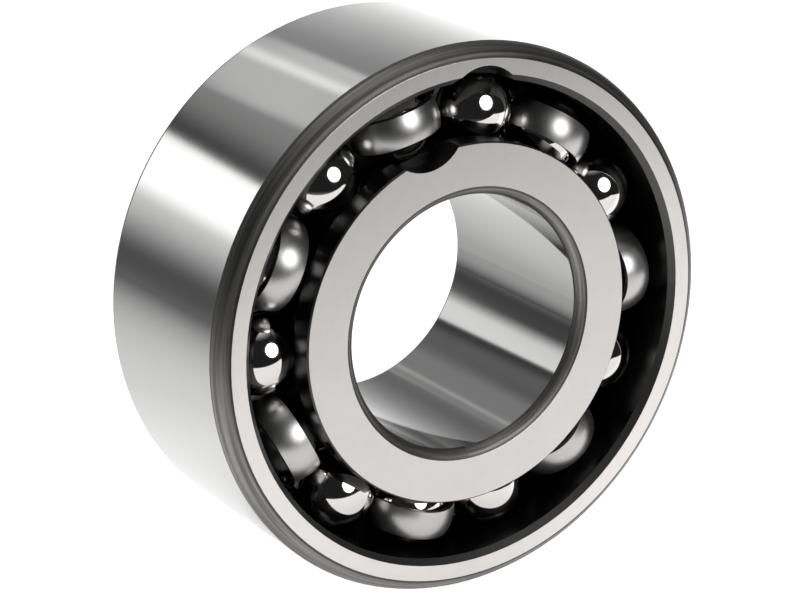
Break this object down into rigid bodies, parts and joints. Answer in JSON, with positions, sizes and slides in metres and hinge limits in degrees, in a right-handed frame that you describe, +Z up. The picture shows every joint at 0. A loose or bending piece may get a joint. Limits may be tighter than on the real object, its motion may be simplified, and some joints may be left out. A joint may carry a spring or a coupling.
{
  "type": "angular contact bearing",
  "caption": "Wide angular contact ball bearing: steel balls in wave-shaped pressed cages run between a thick inner ring and an outer ring, both with filling slots.",
  "frame": {"origin": "centre of the bearing, on its axis and midway between the two side faces", "axes": "+Y along the bearing axis, away from the front face; +Z up with the filling slot of the outer ring near the top; +X to the right seen from the front face"},
  "size_m": [0.14, 0.0586, 0.14],
  "materials": {
    "ring_steel": "ground, satin side faces and polished bore and outside diameter",
    "ball_steel": "mirror polished hardened steel",
    "cage_steel": "pressed sheet, satin"
  },
  "bodies": {
    "outer_ring": {"outer_ring": "ring_steel"},
    "inner_ring": {"inner_ring": "ring_steel"},
    "cage_front": {"cage_front": "cage_steel"},
    "cage_rear": {"cage_rear": "cage_steel"},
    "ball_front_01": {"ball_front_01": "ball_steel"},
    "ball_front_02": {"ball_front_02": "ball_steel"},
    "ball_front_03": {"ball_front_03": "ball_steel"},
    "ball_front_04": {"ball_front_04": "ball_steel"},
    "ball_front_05": {"ball_front_05": "ball_steel"},
    "ball_front_06": {"ball_front_06": "ball_steel"},
    "ball_front_07": {"ball_front_07": "ball_steel"},
    "ball_front_08": {"ball_front_08": "ball_steel"},
    "ball_front_09": {"ball_front_09": "ball_steel"},
    "ball_front_10": {"ball_front_10": "ball_steel"},
    "ball_front_11": {"ball_front_11": "ball_steel"},
    "ball_front_12": {"ball_front_12": "ball_steel"},
    "ball_front_13": {"ball_front_13": "ball_steel"},
    "ball_front_14": {"ball_front_14": "ball_steel"},
    "ball_rear_01": {"ball_rear_01": "ball_steel"},
    "ball_rear_02": {"ball_rear_02": "ball_steel"},
    "ball_rear_03": {"ball_rear_03": "ball_steel"},
    "ball_rear_04": {"ball_rear_04": "ball_steel"},
    "ball_rear_05": {"ball_rear_05": "ball_steel"},
    "ball_rear_06": {"ball_rear_06": "ball_steel"},
    "ball_rear_07": {"ball_rear_07": "ball_steel"},
    "ball_rear_08": {"ball_rear_08": "ball_steel"},
    "ball_rear_09": {"ball_rear_09": "ball_steel"},
    "ball_rear_10": {"ball_rear_10": "ball_steel"},
    "ball_rear_11": {"ball_rear_11": "ball_steel"},
    "ball_rear_12": {"ball_rear_12": "ball_steel"},
    "ball_rear_13": {"ball_rear_13": "ball_steel"},
    "ball_rear_14": {"ball_rear_14": "ball_steel"}
  },
  "joints": [
    {"name": "inner_spin", "type": "hinge", "parent": "outer_ring", "child": "inner_ring", "pos_m": [0, 0, 0], "axis": [0, 1, 0], "continuous": true},
    {"name": "cage_front_spin", "type": "hinge", "parent": "outer_ring", "child": "cage_front", "pos_m": [0, -0.014, 0], "axis": [0, 1, 0], "continuous": true},
    {"name": "ball_front_01_roll", "type": "hinge", "parent": "cage_front", "child": "ball_front_01", "pos_m": [0.00921, -0.014, 0.05067], "axis": [-0.0894, 0.866, -0.4919], "continuous": true},
    {"name": "ball_front_02_roll", "type": "hinge", "parent": "cage_front", "child": "ball_front_02", "pos_m": [0.03028, -0.014, 0.04166], "axis": [-0.294, 0.866, -0.4044], "continuous": true},
    {"name": "ball_front_03_roll", "type": "hinge", "parent": "cage_front", "child": "ball_front_03", "pos_m": [0.04536, -0.014, 0.02439], "axis": [-0.4404, 0.866, -0.2368], "continuous": true},
    {"name": "ball_front_04_roll", "type": "hinge", "parent": "cage_front", "child": "ball_front_04", "pos_m": [0.05145, -0.014, 0.0023], "axis": [-0.4995, 0.866, -0.0223], "continuous": true},
    {"name": "ball_front_05_roll", "type": "hinge", "parent": "cage_front", "child": "ball_front_05", "pos_m": [0.04735, -0.014, -0.02025], "axis": [-0.4597, 0.866, 0.1966], "continuous": true},
    {"name": "ball_front_06_roll", "type": "hinge", "parent": "cage_front", "child": "ball_front_06", "pos_m": [0.03387, -0.014, -0.03879], "axis": [-0.3289, 0.866, 0.3766], "continuous": true},
    {"name": "ball_front_07_roll", "type": "hinge", "parent": "cage_front", "child": "ball_front_07", "pos_m": [0.01369, -0.014, -0.04965], "axis": [-0.1329, 0.866, 0.482], "continuous": true},
    {"name": "ball_front_08_roll", "type": "hinge", "parent": "cage_front", "child": "ball_front_08", "pos_m": [-0.00921, -0.014, -0.05067], "axis": [0.0894, 0.866, 0.4919], "continuous": true},
    {"name": "ball_front_09_roll", "type": "hinge", "parent": "cage_front", "child": "ball_front_09", "pos_m": [-0.03028, -0.014, -0.04166], "axis": [0.294, 0.866, 0.4044], "continuous": true},
    {"name": "ball_front_10_roll", "type": "hinge", "parent": "cage_front", "child": "ball_front_10", "pos_m": [-0.04536, -0.014, -0.02439], "axis": [0.4404, 0.866, 0.2368], "continuous": true},
    {"name": "ball_front_11_roll", "type": "hinge", "parent": "cage_front", "child": "ball_front_11", "pos_m": [-0.05145, -0.014, -0.0023], "axis": [0.4995, 0.866, 0.0223], "continuous": true},
    {"name": "ball_front_12_roll", "type": "hinge", "parent": "cage_front", "child": "ball_front_12", "pos_m": [-0.04735, -0.014, 0.02025], "axis": [0.4597, 0.866, -0.1966], "continuous": true},
    {"name": "ball_front_13_roll", "type": "hinge", "parent": "cage_front", "child": "ball_front_13", "pos_m": [-0.03387, -0.014, 0.03879], "axis": [0.3289, 0.866, -0.3766], "continuous": true},
    {"name": "ball_front_14_roll", "type": "hinge", "parent": "cage_front", "child": "ball_front_14", "pos_m": [-0.01369, -0.014, 0.04965], "axis": [0.1329, 0.866, -0.482], "continuous": true},
    {"name": "cage_rear_spin", "type": "hinge", "parent": "outer_ring", "child": "cage_rear", "pos_m": [0, 0.014, 0], "axis": [0, 1, 0], "continuous": true},
    {"name": "ball_rear_01_roll", "type": "hinge", "parent": "cage_rear", "child": "ball_rear_01", "pos_m": [0.02025, 0.014, 0.04735], "axis": [0.1966, 0.866, 0.4597], "continuous": true},
    {"name": "ball_rear_02_roll", "type": "hinge", "parent": "cage_rear", "child": "ball_rear_02", "pos_m": [0.03879, 0.014, 0.03387], "axis": [0.3766, 0.866, 0.3289], "continuous": true},
    {"name": "ball_rear_03_roll", "type": "hinge", "parent": "cage_rear", "child": "ball_rear_03", "pos_m": [0.04965, 0.014, 0.01369], "axis": [0.482, 0.866, 0.1329], "continuous": true},
    {"name": "ball_rear_04_roll", "type": "hinge", "parent": "cage_rear", "child": "ball_rear_04", "pos_m": [0.05067, 0.014, -0.00921], "axis": [0.4919, 0.866, -0.0894], "continuous": true},
    {"name": "ball_rear_05_roll", "type": "hinge", "parent": "cage_rear", "child": "ball_rear_05", "pos_m": [0.04166, 0.014, -0.03028], "axis": [0.4044, 0.866, -0.294], "continuous": true},
    {"name": "ball_rear_06_roll", "type": "hinge", "parent": "cage_rear", "child": "ball_rear_06", "pos_m": [0.02439, 0.014, -0.04536], "axis": [0.2368, 0.866, -0.4404], "continuous": true},
    {"name": "ball_rear_07_roll", "type": "hinge", "parent": "cage_rear", "child": "ball_rear_07", "pos_m": [0.0023, 0.014, -0.05145], "axis": [0.0223, 0.866, -0.4995], "continuous": true},
    {"name": "ball_rear_08_roll", "type": "hinge", "parent": "cage_rear", "child": "ball_rear_08", "pos_m": [-0.02025, 0.014, -0.04735], "axis": [-0.1966, 0.866, -0.4597], "continuous": true},
    {"name": "ball_rear_09_roll", "type": "hinge", "parent": "cage_rear", "child": "ball_rear_09", "pos_m": [-0.03879, 0.014, -0.03387], "axis": [-0.3766, 0.866, -0.3289], "continuous": true},
    {"name": "ball_rear_10_roll", "type": "hinge", "parent": "cage_rear", "child": "ball_rear_10", "pos_m": [-0.04965, 0.014, -0.01369], "axis": [-0.482, 0.866, -0.1329], "continuous": true},
    {"name": "ball_rear_11_roll", "type": "hinge", "parent": "cage_rear", "child": "ball_rear_11", "pos_m": [-0.05067, 0.014, 0.00921], "axis": [-0.4919, 0.866, 0.0894], "continuous": true},
    {"name": "ball_rear_12_roll", "type": "hinge", "parent": "cage_rear", "child": "ball_rear_12", "pos_m": [-0.04166, 0.014, 0.03028], "axis": [-0.4044, 0.866, 0.294], "continuous": true},
    {"name": "ball_rear_13_roll", "type": "hinge", "parent": "cage_rear", "child": "ball_rear_13", "pos_m": [-0.02439, 0.014, 0.04536], "axis": [-0.2368, 0.866, 0.4404], "continuous": true},
    {"name": "ball_rear_14_roll", "type": "hinge", "parent": "cage_rear", "child": "ball_rear_14", "pos_m": [-0.0023, 0.014, 0.05145], "axis": [-0.0223, 0.866, 0.4995], "continuous": true}
  ],
  "couplings": [
    {"joint": "cage_front_spin", "follows": "inner_spin", "ratio": 0.41324},
    {"joint": "ball_front_01_roll", "follows": "inner_spin", "ratio": -2.4203},
    {"joint": "ball_front_02_roll", "follows": "inner_spin", "ratio": -2.4203},
    {"joint": "ball_front_03_roll", "follows": "inner_spin", "ratio": -2.4203},
    {"joint": "ball_front_04_roll", "follows": "inner_spin", "ratio": -2.4203},
    {"joint": "ball_front_05_roll", "follows": "inner_spin", "ratio": -2.4203},
    {"joint": "ball_front_06_roll", "follows": "inner_spin", "ratio": -2.4203},
    {"joint": "ball_front_07_roll", "follows": "inner_spin", "ratio": -2.4203},
    {"joint": "ball_front_08_roll", "follows": "inner_spin", "ratio": -2.4203},
    {"joint": "ball_front_09_roll", "follows": "inner_spin", "ratio": -2.4203},
    {"joint": "ball_front_10_roll", "follows": "inner_spin", "ratio": -2.4203},
    {"joint": "ball_front_11_roll", "follows": "inner_spin", "ratio": -2.4203},
    {"joint": "ball_front_12_roll", "follows": "inner_spin", "ratio": -2.4203},
    {"joint": "ball_front_13_roll", "follows": "inner_spin", "ratio": -2.4203},
    {"joint": "ball_front_14_roll", "follows": "inner_spin", "ratio": -2.4203},
    {"joint": "cage_rear_spin", "follows": "inner_spin", "ratio": 0.41324},
    {"joint": "ball_rear_01_roll", "follows": "inner_spin", "ratio": -2.4203},
    {"joint": "ball_rear_02_roll", "follows": "inner_spin", "ratio": -2.4203},
    {"joint": "ball_rear_03_roll", "follows": "inner_spin", "ratio": -2.4203},
    {"joint": "ball_rear_04_roll", "follows": "inner_spin", "ratio": -2.4203},
    {"joint": "ball_rear_05_roll", "follows": "inner_spin", "ratio": -2.4203},
    {"joint": "ball_rear_06_roll", "follows": "inner_spin", "ratio": -2.4203},
    {"joint": "ball_rear_07_roll", "follows": "inner_spin", "ratio": -2.4203},
    {"joint": "ball_rear_08_roll", "follows": "inner_spin", "ratio": -2.4203},
    {"joint": "ball_rear_09_roll", "follows": "inner_spin", "ratio": -2.4203},
    {"joint": "ball_rear_10_roll", "follows": "inner_spin", "ratio": -2.4203},
    {"joint": "ball_rear_11_roll", "follows": "inner_spin", "ratio": -2.4203},
    {"joint": "ball_rear_12_roll", "follows": "inner_spin", "ratio": -2.4203},
    {"joint": "ball_rear_13_roll", "follows": "inner_spin", "ratio": -2.4203},
    {"joint": "ball_rear_14_roll", "follows": "inner_spin", "ratio": -2.4203}
  ]
}
